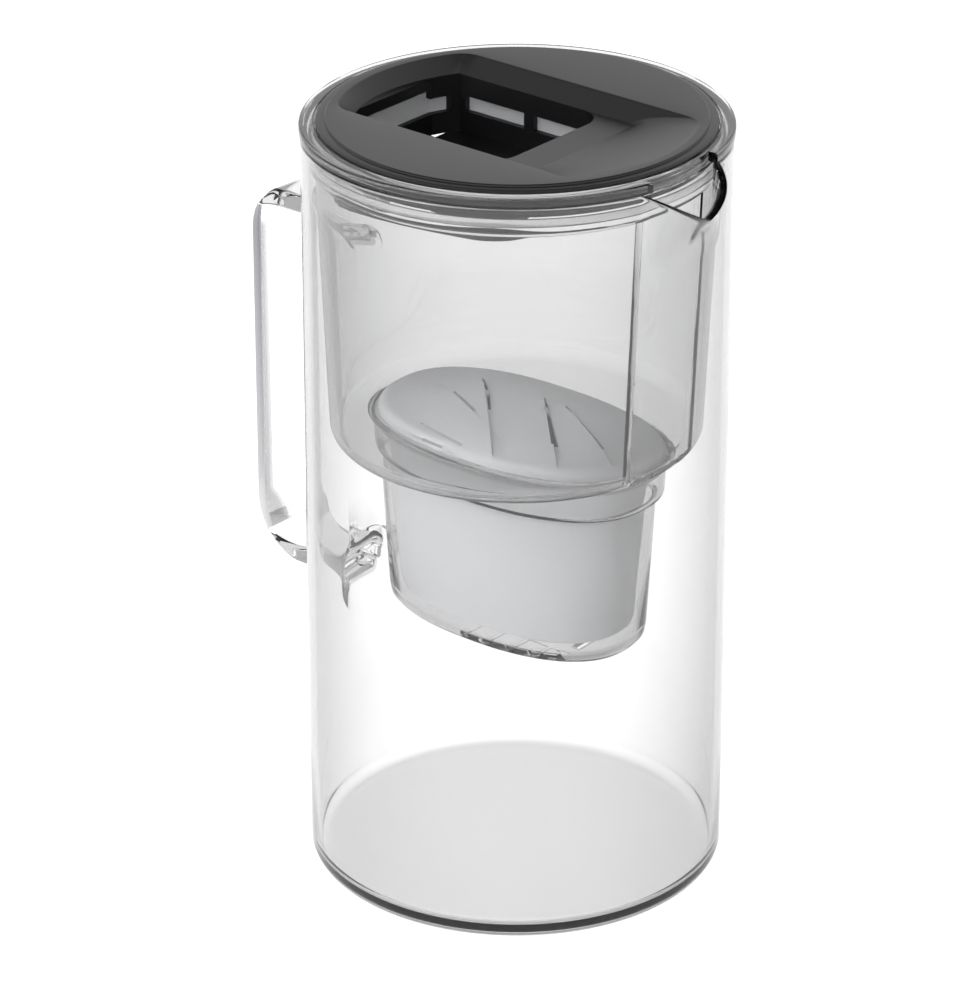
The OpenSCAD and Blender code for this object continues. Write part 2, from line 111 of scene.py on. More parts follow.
def surface(name, values, grain_mm, bump_mm, roughness=(0.4, 0.5), absorbs=None, rim=None):
    """Principled material whose roughness and bump follow a noise of the given grain.

    absorbs is the colour and density of a clear material's depth; rim is how much it lets by at grazing angles, a
    painted edge shade that darkens the edges of clear walls.
    """
    material, tree = new_tree(name)
    place = add_node(tree, "ShaderNodeTexCoord").outputs["Object"]
    noise = add_node(tree, "ShaderNodeTexNoise", {"Scale": 1 / (grain_mm * MM), "Detail": 3.0},
                     {"Vector": place})
    level = add_node(tree, "ShaderNodeMapRange", {"To Min": roughness[0], "To Max": roughness[1]},
                     {"Value": noise.outputs["Fac"]})
    bump = add_node(tree, "ShaderNodeBump", {"Distance": bump_mm * MM}, {"Height": noise.outputs["Fac"]})
    shader = add_node(tree, "ShaderNodeBsdfPrincipled", values,
                      {"Roughness": level.outputs["Result"], "Normal": bump.outputs["Normal"]})
    output = add_node(tree, "ShaderNodeOutputMaterial", (), {"Surface": shader.outputs["BSDF"]})
    # Painted edge shade: the colour greys towards grazing angles so that the edges of clear walls read dark
    if rim:
        grazing = add_node(tree, "ShaderNodeLayerWeight", {"Blend": 0.5}).outputs["Facing"]
        share = add_node(tree, "ShaderNodeMapRange", {"From Min": 0.1, "To Min": 1.0, "To Max": rim},
                         {"Value": grazing}).outputs["Result"]
        painted_edge_grey = add_node(tree, "ShaderNodeCombineColor", (), {0: share, 1: share, 2: share})
        tree.links.new(painted_edge_grey.outputs[0], shader.inputs["Base Color"])
    if absorbs:
        depth_colour, density = absorbs
        volume = add_node(tree, "ShaderNodeVolumeAbsorption", {"Color": depth_colour, "Density": density})
        tree.links.new(volume.outputs["Volume"], output.inputs["Volume"])
    return material


# Shapes

def arc(cx, cz, r, start, stop, steps):
    """Points of an arc in a profile, angles in degrees."""
    angles = [math.radians(start + (stop - start) * i / steps) for i in range(steps + 1)]
    return [(cx + r * math.cos(a), cz + r * math.sin(a)) for a in angles]


def mix(a, b, t):
    """The value at share t of the way from a to b."""
    return a + (b - a) * t


def spun(points, steps, closed=True):
    """Turns a profile of (radius, height) points round the Z axis."""
    bm = bmesh.new()
    verts = [bm.verts.new((r, 0, z)) for r, z in points]
    pairs = list(zip(verts, verts[1:])) + ([(verts[-1], verts[0])] if closed else [])
    edges = [bm.edges.new(pair) for pair in pairs]
    bmesh.ops.spin(bm, geom=verts + edges, cent=(0, 0, 0), axis=(0, 0, 1), dvec=(0, 0, 0),
                   angle=math.tau, steps=steps, use_merge=True, use_duplicate=False)
    bmesh.ops.remove_doubles(bm, verts=bm.verts, dist=1e-3)
    return bm


def wrapped(place, around, levels):
    """Grid rolled up so that place(u, k) gives each point: u runs once round, k counts the levels."""
    bm = bmesh.new()
    bmesh.ops.create_grid(bm, x_segments=around, y_segments=levels, size=1)
    for v in bm.verts:
        i = round((v.co.x + 1) / 2 * around) % around
        k = round((v.co.y + 1) / 2 * levels)
        v.co = place(i / around, k)
    bmesh.ops.remove_doubles(bm, verts=bm.verts, dist=1e-3)
    return bm


def oval_point(u, a, b, z):
    """Point of the cartridge's full-sided oval with half axes a and b."""
    t = math.tau * u
    c, s = math.cos(t), math.sin(t)
    power = 2 / OVAL_POWER
    return Vector((a * math.copysign(abs(c) ** power, c), b * math.copysign(abs(s) ** power, s), z))


def oval_stack(levels, around=160):
    """Wall through a stack of ovals, each level being (z, half length, half width)."""
    return wrapped(lambda u, k: oval_point(u, levels[k][1], levels[k][2], levels[k][0]), around, len(levels) - 1)


def boxes(places):
    """One mesh of boxes, each given by its centre, its size, its turn about Z in degrees and its far end's growth."""
    bm = bmesh.new()
    for centre, size, turn, growth in places:
        verts = bmesh.ops.create_cube(bm, size=1)["verts"]
        for v in verts:
            v.co.y *= growth if v.co.x > 0 else 1
        bmesh.ops.transform(bm, verts=verts, matrix=Matrix.Translation(centre)
                            @ Matrix.Rotation(math.radians(turn), 4, "Z") @ Matrix.Diagonal((*size, 1)))
    return bm


def new_object(name, bm, outward=True):
    """Object from a bmesh drawn in millimetres."""
    bmesh.ops.scale(bm, vec=(MM, MM, MM), verts=bm.verts)
    bmesh.ops.dissolve_degenerate(bm, dist=1e-6, edges=bm.edges)
    if outward:
        bmesh.ops.recalc_face_normals(bm, faces=bm.faces)
    mesh = bpy.data.meshes.new(name)
    bm.to_mesh(mesh)
    bm.free()
    obj = bpy.data.objects.new(name, mesh)
    bpy.context.scene.collection.objects.link(obj)
    return obj


def combine(obj, tool, operation):
    """Boolean of obj with tool, which is used up. Flat faces keep it from leaving slivers."""
    flat = bmesh.new()
    flat.from_mesh(obj.data)
    bmesh.ops.triangulate(flat, faces=flat.faces)
    flat.to_mesh(obj.data)
    flat.free()
    modifier = obj.modifiers.new(operation, "BOOLEAN")
    modifier.object, modifier.operation, modifier.solver = tool, operation, "EXACT"
    shape = bpy.data.meshes.new_from_object(obj.evaluated_get(bpy.context.evaluated_depsgraph_get()))
    obj.modifiers.clear()
    bm = bmesh.new()
    bm.from_mesh(shape)
    bmesh.ops.remove_doubles(bm, verts=bm.verts, dist=WELD)
    bmesh.ops.dissolve_degenerate(bm, dist=WELD, edges=bm.edges)
    bmesh.ops.triangulate(bm, faces=bm.faces)
    corners = {}
    for face in bm.faces:
        corners.setdefault(frozenset(face.verts), []).append(face)
    folded = [face for faces in corners.values() if len(faces) > 1 for face in faces]
    bmesh.ops.delete(bm, geom=folded, context="FACES")
    bm.to_mesh(shape)
    bm.free()
    obj.data = shape
    bpy.data.objects.remove(tool)


def finish(obj, material, body, nodes=(), crease=32):
    """Smooths all but the sharp edges, and gives obj its material and its place in the frame."""
    obj.data.materials.clear()
    obj.data.materials.append(material)
    obj.data.shade_smooth()
    obj.data.set_sharp_from_angle(angle=math.radians(crease))
    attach(obj, body)
    if nodes:
        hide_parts(*nodes)
    return obj


def dress(material, *names):
    """Gives CAD nodes a material."""
    for name in names:
        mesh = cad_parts[name].data
        mesh.materials.clear()
        mesh.materials.append(material)


# Glass

class GlassSettings(bpy.types.PropertyGroup):
    radius: length("Radius", 68, "Outer radius of the glass cylinder")
    wall: length("Wall", 2.5, "Thickness of the glass wall")
    base: length("Base", 4, "Thickness of the glass base")
    spout_reach: length("Spout reach", 9, "How far the tip stands proud of the cylinder")
    spout_drop: length("Spout drop", 11, "How far the tip lies below the rim")
    spout_half: length("Spout half width", 19, "Half of the spout's width at the rim")
    spout_depth: length("Spout depth", 27.5, "How far below the rim the beak starts")
    ribbon_width: length("Ribbon width", 19.5, "Width of the handle's glass ribbon")
    ribbon_thickness: length("Ribbon thickness", 6.5, "Thickness of the handle's glass ribbon")
    tint: colour("Tint", "9295A0", "Colour that thick glass takes on")


def glass_material(settings):
    # Borosilicate glass, drawn and fire polished: colourless, with a slow waviness and grey-green depths, and painted
    # shade on its edges
    return surface("borosilicate_glass_fire_polished",
                   {"Transmission Weight": 1.0, "IOR": 1.47},
                   grain_mm=60, bump_mm=0.05, roughness=(0, 0), absorbs=((*settings.tint, 1), 2.5), rim=0.45)


def press_spout(bm, s):
    """Pushes the wall out and down into a beak above spout_depth."""
    start = math.asin(s.spout_half / s.radius)
    low = RIM_Z - s.spout_depth
    corner_x = s.radius * math.cos(start)
    for v in bm.verts:
        side = abs(math.atan2(v.co.y, v.co.x)) / start
        if v.co.z <= low or side > 1.6:
            continue
        raw = 1 - side ** 1.15
        share = (raw + math.sqrt(raw * raw + 0.004)) / 2
        rise = ((v.co.z - low) / s.spout_depth) ** 1.6
        straight = s.radius * math.cos(side * start)
        reach = s.radius + s.spout_reach - (s.radius + s.spout_reach - corner_x) * min(1, side ** 2.8)
        v.co.x += max(0, reach - straight) * rise if side <= 1 else 0
        v.co.z -= s.spout_drop * share * rise


def section(y_half, up, down, corner):
    """Points of the ribbon's round-cornered section in the plane across it."""
    corners = [(y_half - corner, up - corner, 0), (-y_half + corner, up - corner, 90),
               (-y_half + corner, -down + corner, 180), (y_half - corner, -down + corner, 270)]
    return [p for y, z, start in corners for p in arc(y, z, corner, start, start + 90, 8)]


def ribbon(s):
    """The handle: a flat glass ribbon bent into a C, its ends spread where they are fused to the wall."""
    half_t, half_w = s.ribbon_thickness / 2, s.ribbon_width / 2
    grip_x, top_z, foot_z = -105.75, 208.75, 81.75
    bend_top, bend_foot = 12.75, 18.75
    corner = 2
    # x and share of the swelling, from inside the wall outwards
    swell = [(-66.4, 1.04), (-67.4, 1), (-68, 0.86), (-68.8, 0.66), (-69.8, 0.45), (-71, 0.27), (-72.8, 0.12),
             (-75, 0.04), (-77, 0)]

    def weld(wider, up, down):
        """x, half width, reach up, reach down and corner radius of the sections of a fused end."""
        rounder = min(11, wider + up - 0.4)
        return [(x, half_w + g * wider, half_t + g * up, half_t + g * down, corner + g * rounder) for x, g in swell]

    foot_weld, top_weld = weld(4, 11, 14), weld(1.5, 4, 8.5)[::-1]
    stations = [(Vector((x, 0, foot_z)), 0, w, up, down, c) for x, w, up, down, c in foot_weld]

    def bend(cx, cz, r, start, stop, steps):
        for i in range(steps + 1):
            a = math.radians(mix(start, stop, i / steps))
            centre = Vector((cx + r * math.cos(a), 0, cz + r * math.sin(a)))
            yield (centre, a + math.pi / 2, half_w, half_t, half_t, corner)

    stations += bend(grip_x + bend_foot, foot_z + bend_foot, bend_foot, 270, 180, 20)
    stations += bend(grip_x + bend_top, top_z - bend_top, bend_top, 180, 90, 20)
    stations += [(Vector((x, 0, top_z)), math.pi, w, down, up, c) for x, w, up, down, c in top_weld]
    return stations


def ribbon_mesh(s):
    """The ribbon's skin through its sections, with its ends closed."""
    stations = ribbon(s)
    around = len(section(9, 3, 3, 2))

    def place(u, k):
        centre, turn, half_w, up, down, corner = stations[k]
        y, z = section(half_w, up, down, corner)[round(u * around)]
        return centre + Vector((z * math.sin(turn), y, z * math.cos(turn)))

    bm = wrapped(place, around, len(stations) - 1)
    bmesh.ops.holes_fill(bm, edges=[e for e in bm.edges if e.is_boundary], sides=0)
    return bm


class PITCHER_OT_glass(bpy.types.Operator):
    """Makes the glass: a straight jug with a pressed spout and its fused ribbon handle"""
    bl_idname = "pitcher.glass"
    bl_label = "Glass"

    def execute(self, context):
        settings = context.scene.pitcher_glass
        s = in_mm(settings)
        inner = s.radius - s.wall
        low = RIM_Z - s.spout_depth
        lip = s.wall / 2
        upper = [low + (RIM_Z - lip - low) * i / 20 for i in range(21)]
        lower = [40, 75, 110, 145, 180, 205]
        profile = [(0, 0)] + arc(s.radius - 5, 5, 5, -90, 0, 10)
        profile += [(s.radius, z) for z in lower + upper[:-1]]
        profile += arc(s.radius - lip, RIM_Z - lip, lip, 0, 180, 12)
        profile += [(inner, z) for z in reversed(lower + upper[:-1])]
        profile += arc(inner - 4, s.base + 4, 4, 0, -90, 8) + [(0, s.base)]
        bm = spun(profile, 360, closed=False)
        press_spout(bm, s)
        jug = new_object("jug_and_handle", bm)
        combine(jug, new_object("ribbon", ribbon_mesh(s)), "UNION")
        finish(jug, glass_material(settings), "jug", ["glass_jug", "glass_handle"], crease=40)
        return {"FINISHED"}


# Hopper and socket

class HopperSettings(bpy.types.PropertyGroup):
    wall: length("Wall", 2.2, "Thickness of the hopper's wall")
    pour_half: length("Pour panel half width", 15.5, "Half of the width of the flat panel behind the spout")
    tint: colour("Tint", "85868F", "Colour that thick plastic takes on")


def clear_plastic(settings, density):
    # Styrene-acrylonitrile, moulded against polished steel: water clear, a little grey in its thickness, with painted
    # shade on its edges
    return surface("san_plastic_clear_moulded",
                   {"Transmission Weight": 1.0, "IOR": 1.53},
                   grain_mm=45, bump_mm=0.03, roughness=(0, 0), absorbs=((*settings.tint, 1), density), rim=0.85)


def hopper_skins(t):
    """Profiles of the hopper's outer and inner skin, from the floor up to the flange's top."""
    outer = arc(53, 157, 7, -90, 0, 8) + [(mix(60, 63.5, i / 6), mix(157, 243, i / 6)) for i in range(1, 7)]
    outer += [(63.7, 243.4), (64.8, 244.8), (65, 245.2), (65, 246.6), (64, 246.6), (64, 249.4), (65, 249.4),
              (65, 251.7), (64.4, 251.9), (64.4, 253.55), (68.1, 253.55), (68.45, 253.9)]
    outer += arc(67.25, 255.6, 1.2, 0, 90, 6)
    inner = arc(53, 157, 7 - t, -90, 0, 8)
    inner += [(mix(60, 63.5, i / 6) - t, mix(157, 243, i / 6)) for i in range(1, 7)]
    inner += [(62.2, 244.3), (62.2, 254.8), (63.4, 254.8), (63.4, 256.2), (64, 256.8)]
    return outer, inner


def flatten_panel(bm, s):
    """Presses the flat pour panel into both skins and cuts the flange back over the spout."""
    side_wall, step = 0.9, 0.25
    inner_half = s.pour_half + side_wall
    for y in (s.pour_half, s.pour_half - step, inner_half, inner_half - step, 16, 15.8):
        for side in (-1, 1):
            front = [f for f in bm.faces if f.calc_center_median().x > 30]
            geom = front + list({e for f in front for e in f.edges}) + list({v for f in front for v in f.verts})
            bmesh.ops.bisect_plane(bm, geom=geom, dist=1e-4, plane_co=(0, side * y, 0), plane_no=(0, 1, 0))
    for z in (242.8, 243.2):
        front = [f for f in bm.faces if f.calc_center_median().x > 50]
        geom = front + list({e for f in front for e in f.edges}) + list({v for f in front for v in f.verts})
        bmesh.ops.bisect_plane(bm, geom=geom, dist=1e-4, plane_co=(0, 0, z), plane_no=(0, 0, 1))
    for v in bm.verts:
        x, y, z = v.co
        r = math.hypot(x, y)
        if x < 30:
            continue
        if z > 253.5 and abs(y) <= 15.85 and r > 65:
            v.co.x = math.sqrt(65 * 65 - y * y)
        wall_r = mix(60, 63.5, max(0, z - 157) / 86)
        low = math.hypot(max(0, r - 53), 157 - z) if z < 157 else 0
        outer = low > 7 - s.wall / 2 if z < 157 else r > wall_r - s.wall / 2
        panel = 56.8 + 4 * (z - 150) / 93
        if outer and abs(y) < s.pour_half - 0.2 and z < 243:
            v.co.x = min(x, panel)
        if not outer and abs(y) < inner_half - 0.2 and z < 243.3:
            v.co.x = min(x, panel - s.wall)


class PITCHER_OT_hopper(bpy.types.Operator):
    """Makes the clear hopper: flange, collar, tapered wall, flat pour panel and floor with its oval opening"""
    bl_idname = "pitcher.hopper"
    bl_label = "Hopper"

    def execute(self, context):
        settings = context.scene.pitcher_hopper
        s = in_mm(settings)
        outer, inner = hopper_skins(s.wall)
        bm = spun(outer + inner[::-1], 360, closed=False)
        for z in (FLOOR_Z, FLOOR_Z + s.wall):
            made = bmesh.ops.create_circle(bm, segments=360, radius=1)["verts"]
            for i, v in enumerate(made):
                v.co = oval_point(i / len(made), 52.8, 31.8, z)
            level = [e for e in bm.edges if len(e.link_faces) < 2 and all(abs(v.co.z - z) < 0.01 for v in e.verts)]
            bmesh.ops.bridge_loops(bm, edges=level)
        bmesh.ops.bridge_loops(bm, edges=[e for e in bm.edges if e.is_boundary])
        bmesh.ops.recalc_face_normals(bm, faces=bm.faces)
        flatten_panel(bm, s)
        hopper = new_object("hopper_shell", bm)
        finish(hopper, clear_plastic(settings, 45), "funnel", ["hopper"], crease=30)
        return {"FINISHED"}


class PITCHER_OT_socket(bpy.types.Operator):
    """Makes the clear cup under the hopper's floor, with its drain slots"""
    bl_idname = "pitcher.socket"
    bl_label = "Socket"

    def execute(self, context):
        levels = [(84, 0, 0), (84, 40, 21), (84.2, 42, 23), (85.2, 44.6, 25.6), (87.5, 46.4, 27.4),
                  (90.5, 46.9, 27.9), (113, 48.3, 28.8), (135.6, 49.7, 29.6), (136.2, 49.9, 29.8), (138, 52.3, 31),
                  (138.8, 52.6, 31.3), (147, 53, 31.7), (148.6, 53.6, 32.3), (149.9, 54.8, 33.6), (149.92, 51, 29.8),
                  (140.2, 50.8, 29.5), (138.6, 50.2, 29.1), (137.5, 48, 27.8), (113, 46.5, 26.9), (90.5, 45.1, 26.1),
                  (88, 44.4, 25.4), (86.3, 42.6, 23.6), (85.8, 40, 21), (85.8, 0, 0)]
        socket = new_object("socket_cup", oval_stack(levels))
        slots = [((3.25 + 9 * i, side * 24, 87.1), (7.5, 20, 3), 0, 1) for i in range(4) for side in (-1, 1)]
        slots += [((x, 0, 85), (3, 18, 5), 0, 1) for x in range(-32, 33, 8)]
        combine(socket, new_object("slots", boxes(slots)), "DIFFERENCE")
        material = clear_plastic(context.scene.pitcher_hopper, 35)
        finish(socket, material, "funnel", ["cartridge_socket"], crease=35)
        return {"FINISHED"}


class PITCHER_OT_seals(bpy.types.Operator):
    """Makes the two silicone rings, on the hopper's collar and round the lid's plug"""
    bl_idname = "pitcher.seals"
    bl_label = "Seals"

    def execute(self, context):
        # Liquid silicone rubber, moulded: translucent, milky and slightly soft in its gloss
        material = surface("silicone_rubber_moulded", {"Base Color": linear("DEDEDD"), "IOR": 1.41,
                                                       "Transmission Weight": 0.75}, 3, 0.01, (0.12, 0.2))
        collar = spun([(64.05, 246.75), (64.9, 246.75), (65.15, 247.3), (65.15, 248.7), (64.9, 249.25),
                       (64.05, 249.25)], 240)
        finish(new_object("collar_ring", collar), material, "funnel", ["collar_seal"])
        plug = spun([(60.05, 250.55), (61.1, 250.55), (61.75, 251.2), (61.1, 252.45), (60.05, 252.45)], 240)
        finish(new_object("plug_ring", plug), material, "lid", ["lid_seal"])
        return {"FINISHED"}


# Cartridge

class CartridgeSettings(bpy.types.PropertyGroup):
    shell: colour("Shell", "E9EAEB", "Colour of the cartridge's plastic")
    # Painted shade: the slots' walls get this dark colour in place of the shade deep inside them
    gap: colour("Gap", "161617", "Colour deep inside the cap's slots")


# Start, end, and width at both ends of the cap's slots, in millimetres from the axis
CAP_SLOTS = [((-25, -1.4), (-9.2, -9.5), 0.9, 1.2), ((-25.2, 13.1), (-18.6, 7.4), 1.2, 1.1),
             ((-16.9, 5.9), (-7.6, -4.3), 1.1, 0.9), ((0.4, 13.8), (6.9, 7), 0.9, 1),
             ((8.4, 5.4), (26, -12.8), 1.1, 2.2),
             ((10, 13), (37.9, -4.1), 0.9, 1.5), ((-20.1, -23.4), (0.8, -27.8), 1.1, 1.1)]
# Start, end and width of the blades of the cap's swirl, whose raised edges run along the slots
BLADES = [((-32, 0), (-2, -14), 11), ((-25.2, 13.1), (15, -30), 17), ((0.4, 13.8), (38.7, -27), 15),
          ((10, 13), (50, -13), 12)]
# Height of the blades, and how far across their steep side runs
BLADE_HEIGHT = 1.3
BLADE_EDGE = 0.5


def blade_lines():
    """Each blade's start, unit direction along its raised edge, length and width."""
    for start, end, width in BLADES:
        run = Vector(end) - Vector(start)
        yield Vector(start), run.normalized(), run.length, width


def swirl(x, y):
    """Height of the cap's blades at a place: rising towards each edge, then steep down."""
    best = 0
    for start, way, size, width in blade_lines():
        place = Vector((x, y)) - start
        along, across = place.dot(way), place.x * -way.y + place.y * way.x
        ends = max(0, min(1, (along + 3) / 10)) * max(0, min(1, (size + 12 - along) / 12))
        slope = max(0, 1 + min(0, across) / width) * max(0, 1 - max(0, across) / BLADE_EDGE)
        best = max(best, ends * slope)
    return BLADE_HEIGHT * (best - 1)


def press_swirl(bm):
    """Cuts the mesh along the blades' edges and presses the blades into the dome inside its rim."""
    for start, way, size, width in blade_lines():
        normal = Vector((-way.y, way.x, 0))
        for shift in (0, BLADE_EDGE):
            bmesh.ops.bisect_plane(bm, geom=bm.verts[:] + bm.edges[:] + bm.faces[:], dist=1e-4,
                                   plane_co=start.to_3d() + normal * shift, plane_no=normal)
    for v in bm.verts:
        x, y, z = v.co
        rho = ((abs(x) / 51.4) ** OVAL_POWER + (abs(y) / 30.4) ** OVAL_POWER) ** (1 / OVAL_POWER)
        share = max(0, min(1, (0.97 - rho) / 0.14))
        v.co.z += swirl(x, y) * share * share * (3 - 2 * share)


class PITCHER_OT_cartridge(bpy.types.Operator):
    """Makes the white cartridge: its cup, the slotted swirl cap and what is inside"""
    bl_idname = "pitcher.cartridge"
    bl_label = "Cartridge"

    def execute(self, context):
        settings = context.scene.pitcher_cartridge
        # Polypropylene, moulded against a fine spark-eroded face: satin white with a faint grain
        white = surface("polypropylene_satin_white", {"Base Color": (*settings.shell, 1), "IOR": 1.49,
                                                      "Subsurface Weight": 0.0}, 0.6, 0.02, (0.38, 0.48))
        # Painted shade: the same white plastic, coloured near black on the walls deep in the slots, where next to no
        # light comes
        gap = surface("polypropylene_in_shade", {"Base Color": (*settings.gap, 1), "IOR": 1.49},
                      0.6, 0.02, (0.6, 0.7))
        cup = [(90, 0, 0), (90, 38.6, 20.6), (90.4, 40.8, 22.8), (91.4, 42.2, 24.2), (94, 43, 25), (120, 44.2, 26.2),
               (149.6, 45.3, 27.3), (149.98, 45.7, 27.7), (150, 51.6, 30.6), (150.3, 52.2, 31.2), (151.3, 52.4, 31.4),
               (151.75, 52, 31), (151.78, 44.4, 26.4), (151.4, 43.75, 25.75), (120, 42.6, 24.6), (94, 41.5, 23.5),
               (92, 39.6, 21.6), (91.6, 37, 19), (91.6, 0, 0)]
        shell = new_object("cartridge_shell", oval_stack(cup))
        grate = [((x, 0, 90.5), (2, 24, 4), 0, 1) for x in range(-30, 31, 6)]
        combine(shell, new_object("grate", boxes(grate)), "DIFFERENCE")
        finish(shell, white, "cartridge", ["cartridge_cup"], crease=35)

        # z above the flange, half length and half width at each level of the dome
        dome = [(0.05, 51.2, 30.2), (1.6, 51, 30), (2.3, 50.5, 29.6), (3, 49.8, 28.9), (3.7, 48.7, 27.9),
                (4.4, 47.2, 26.6), (5, 45.2, 24.9), (5.5, 42.6, 22.8), (5.9, 39.4, 20.3), (6.2, 35.4, 17.4),
                (6.4, 30, 14), (6.5, 24.4, 10.4), (6.56, 18, 7.4), (6.6, 12, 5), (6.6, 6, 2.5), (6.6, 0, 0)]
        hollow = [(z - 1.4, max(0, a - 1.5), max(0, b - 1.5)) for z, a, b in reversed(dome[2:])]
        levels = [(z + 151.8, a, b) for z, a, b in dome + hollow + [(0.05, 49.4, 28.4)] + dome[:1]]
        bm = oval_stack(levels, 200)
        press_swirl(bm)
        cap = new_object("cartridge_dome", bm)
        cap.data.materials.append(white)
        cuts = [((x, -29.8, 153.35), (8.8, 3.6, 0.9), 0, 1) for x in (-19.6, -10)]
        for (x0, y0), (x1, y1), w0, w1 in CAP_SLOTS:
            turn = math.degrees(math.atan2(y1 - y0, x1 - x0))
            middle = ((x0 + x1) / 2, (y0 + y1) / 2, 157.5)
            cuts.append((middle, (math.hypot(x1 - x0, y1 - y0), w0, 9), turn, w1 / w0))
        slots = new_object("slots", boxes(cuts))
        # The cutter carries the painted slot shade onto the walls it cuts
        slots.data.materials.append(gap)
        combine(cap, slots, "DIFFERENCE")
        shades = [p.material_index for p in cap.data.polygons]
        finish(cap, white, "cartridge", ["cartridge_cap"], crease=25)
        cap.data.materials.append(gap)
        cap.data.polygons.foreach_set("material_index", shades)

        # Silicone rubber, moulded: matte white
        dress(surface("silicone_rubber_white", {"Base Color": linear("DCDCDA"), "IOR": 1.41}, 2, 0.02, (0.5, 0.6)),
              "cartridge_seal")
        # Polypropylene fleece, needle punched: dull, with fibres about 0.3 mm apart
        dress(surface("fleece_needled", {"Base Color": linear("4A4A47"), "Sheen Weight": 0.3}, 0.3, 0.25, (0.85, 1)),
              "upper_fleece", "lower_fleece")
        # Activated carbon and resin beads, packed loose: dark, in grains of about 0.8 mm
        dress(surface("carbon_granules", {"Base Color": linear("34302C")}, 0.8, 0.5, (0.7, 0.9)), "filter_granules")
        return {"FINISHED"}


# Lid

class LidSettings(bpy.types.PropertyGroup):
    radius: length("Radius", 63, "Outer radius of the lid")
    hollow_half: length("Hollow half width", 32, "Half of the width of the hollow in the lid")
    hollow_radius: length("Hollow radius", 57, "Radius of the arcs that end the hollow")
    hollow_depth: length("Hollow depth", 5.4, "Depth of the hollow")
    black: colour("Black", "0E0E10", "Colour of the lid's plastic")


def hollow_outlines(s):
    """Matched points of the hollow's rim and floor, once round, with how each ruled line bends upwards."""
    corner = 9
    cy = s.hollow_half - corner
    cx = math.sqrt((s.hollow_radius - corner) ** 2 - cy ** 2)
    lean = math.degrees(math.atan2(cy, cx))
    floor_half = s.hollow_half - s.hollow_depth
    strip_x, back_r = 26.0, 53.5
    back_x = -math.sqrt(back_r ** 2 - floor_half ** 2)
    crease = (90 + lean) / 2

    def spaced(points, count):
        """count points at even distances along a line of points."""
        sums = [0]
        for a, b in zip(points, points[1:]):
            sums.append(sums[-1] + math.dist(a, b))
        for i in range(count):
            want = sums[-1] * i / count
            k = max(j for j, total in enumerate(sums[:-1]) if total <= want)
            t = (want - sums[k]) / (sums[k + 1] - sums[k])
            yield tuple(mix(p, q, t) for p, q in zip(points[k], points[k + 1]))

    front = arc(0, 0, s.hollow_radius, 0, lean, 24) + arc(cx, cy, corner, lean, crease, 8)[1:]
    side = arc(cx, cy, corner, crease, 90, 8) + arc(-cx, cy, corner, 90, 180 - crease, 8)
    back = arc(-cx, cy, corner, 180 - crease, 180 - lean, 8) + arc(0, 0, s.hollow_radius, 180 - lean, 180, 24)[1:]
    half = []
    lines = [(front, [(strip_x, 0), (strip_x, floor_half)], 48),
             (side, [(strip_x, floor_half), (back_x, floor_half)], 64),
             (back, arc(0, 0, back_r, math.degrees(math.atan2(floor_half, back_x)), 180, 24), 40)]
    for part, (rim, floor, count) in enumerate(lines):
        for i, (a, b) in enumerate(zip(spaced(rim, count), spaced(floor, count))):
            t = i / count
            power = 1.1 - 0.6 * t ** 4 if part == 0 else (min(1, 0.5 + 2.5 * t) if part == 1 else 1)
            half.append((a, b, power))
    half.append(((-s.hollow_radius, 0), (-back_r, 0), 1))
    mirrored = [((ax, -ay), (bx, -by), p) for (ax, ay), (bx, by), p in reversed(half[1:-1])]
    return half + mirrored


class PITCHER_OT_lid(bpy.types.Operator):
    """Makes the black lid with its dished hollow, and dresses the pieces under it"""
    bl_idname = "pitcher.lid"
    bl_label = "Lid"

    def execute(self, context):
        settings = context.scene.pitcher_lid
        s = in_mm(settings)
        top = RIM_Z + 4.9
        floor = top - s.hollow_depth
        under = top - 2.2
        outline = hollow_outlines(s)
        slope = 16

        def circle(r, z):
            return lambda rim, base, power: (*(Vector(rim).normalized() * r), z)

        def shifted(which, out, z):
            def place(rim, base, power):
                point = Vector(rim if which else base)
                return (*(point + point.normalized() * out), z)
            return place

        def ruled(t):
            def place(rim, base, power):
                lift = t ** power
                return (mix(base[0], rim[0], t), mix(base[1], rim[1], lift), floor + (s.hollow_depth - 0.12) * lift)
            return place

        r = s.radius
        levels = [circle(r - 1.6, top - 3.6), circle(r, top - 3.6), circle(r, top - 1.4), circle(r - 0.25, top - 1.0),
                  circle(r - 0.7, top - 0.8), circle(r - 2.55, top - 0.8), circle(r - 2.7, top - 0.7),
                  circle(r - 2.85, top - 0.25), circle(r - 3.15, top), shifted(True, 0.55, top),
                  shifted(True, 0.2, top - 0.04)]
        levels += [ruled(1 - i / slope) for i in range(slope + 1)]
        levels += [shifted(False, 1.8, floor), shifted(True, 1.2, under), circle(r - 1.6, under),
                   circle(r - 1.6, top - 3.6)]
        count = len(outline)
        bm = wrapped(lambda u, k: Vector(levels[k](*outline[round(u * count)])), count, len(levels) - 1)
        lid = new_object("lid_top", bm)
        # Polypropylene with carbon black, moulded on a fine satin-etched face: near black, broad soft sheen
        black = surface("polypropylene_satin_black", {"Base Color": (*settings.black, 1), "IOR": 1.49},
                        0.35, 0.012, (0.3, 0.4))
        finish(lid, black, "lid", ["lid_cover"], crease=24)
        dress(black, "lid_frame", "inlet_basket", "inlet_flap")
        # Polyamide gauze, finely woven: grey, a quarter of it open
        gauze = {"Base Color": linear("77787A"), "Alpha": 0.75}
        dress(surface("polyamide_gauze_grey", gauze, 0.4, 0.1, (0.6, 0.7)), "inlet_strainer")
        # Stainless spring steel, drawn: bright with fine lines
        steel = {"Base Color": linear("B9B8B4"), "Metallic": 1.0}
        dress(surface("stainless_steel_drawn", steel, 0.2, 0.005, (0.25, 0.4)), "flap_pin", "flap_spring")
        return {"FINISHED"}


# Stage

